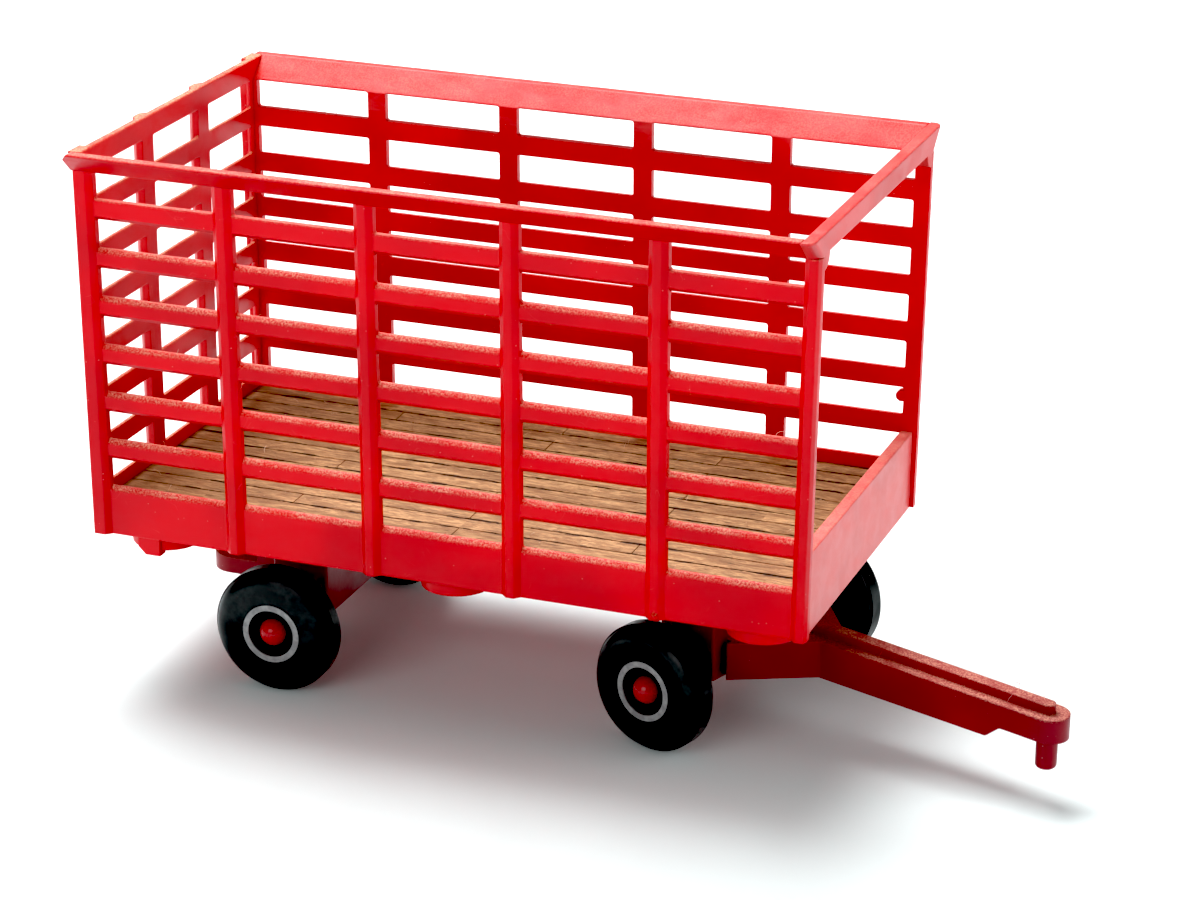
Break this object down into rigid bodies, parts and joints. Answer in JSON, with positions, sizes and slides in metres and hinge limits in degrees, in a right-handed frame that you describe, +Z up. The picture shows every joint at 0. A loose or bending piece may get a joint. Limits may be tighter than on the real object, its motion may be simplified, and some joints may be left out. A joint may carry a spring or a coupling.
{
  "type": "toy farm wagon",
  "caption": "Small-scale farm rack wagon: slatted red body with a plank floor and open front, on a steered running gear with rubber-look wheels, drawbar and rear hitch loop.",
  "frame": {"origin": "on the ground, on the wagon's centreline, midway between the rear posts and the tip of the drawbar", "axes": "+X toward the towing end, +Y to the wagon's left, +Z up"},
  "size_m": [0.1, 0.0432, 0.0563],
  "materials": {
    "rack_red": "semi-gloss moulded",
    "board_tan": "matt, plank-grained",
    "gear_crimson": "satin paint on die casting",
    "tyre_black": "satin",
    "band_silver": "satin",
    "cap_red": "gloss",
    "steel": "bright"
  },
  "bodies": {
    "wagon": {"right_side": "rack_red", "left_side": "rack_red", "rear_panel": "rack_red", "front_panel": "rack_red", "front_bar": "rack_red", "floor_pan": "rack_red", "board_floor": "board_tan", "reach": "gear_crimson", "rear_carriage": "gear_crimson", "kingpin": "steel", "carriage_screws": "steel", "rear_axle": "steel", "rear_left_cap": "cap_red", "rear_right_cap": "cap_red"},
    "front_gear": {"front_carriage": "gear_crimson", "front_axle": "steel", "front_left_cap": "cap_red", "front_right_cap": "cap_red"},
    "rear_left_wheel_set": {"rear_left_wheel": "tyre_black", "rear_left_band": "band_silver"},
    "rear_right_wheel_set": {"rear_right_wheel": "tyre_black", "rear_right_band": "band_silver"},
    "front_left_wheel_set": {"front_left_wheel": "tyre_black", "front_left_band": "band_silver"},
    "front_right_wheel_set": {"front_right_wheel": "tyre_black", "front_right_band": "band_silver"}
  },
  "joints": [
    {"name": "steer", "type": "hinge", "parent": "wagon", "child": "front_gear", "pos_m": [0.01352, 0, 0.014], "axis": [0, 0, 1], "range_deg": [-42, 78]},
    {"name": "rear_left_spin", "type": "hinge", "parent": "wagon", "child": "rear_left_wheel_set", "pos_m": [-0.03128, 0.0146, 0.0066], "axis": [0, 1, 0], "continuous": true},
    {"name": "rear_right_spin", "type": "hinge", "parent": "wagon", "child": "rear_right_wheel_set", "pos_m": [-0.03128, -0.0146, 0.0066], "axis": [0, 1, 0], "continuous": true},
    {"name": "front_left_spin", "type": "hinge", "parent": "front_gear", "child": "front_left_wheel_set", "pos_m": [0.01794, 0.01392, 0.0066], "axis": [0.3024, 0.9532, 0], "continuous": true},
    {"name": "front_right_spin", "type": "hinge", "parent": "front_gear", "child": "front_right_wheel_set", "pos_m": [0.00911, -0.01392, 0.0066], "axis": [0.3024, 0.9532, 0], "continuous": true}
  ]
}
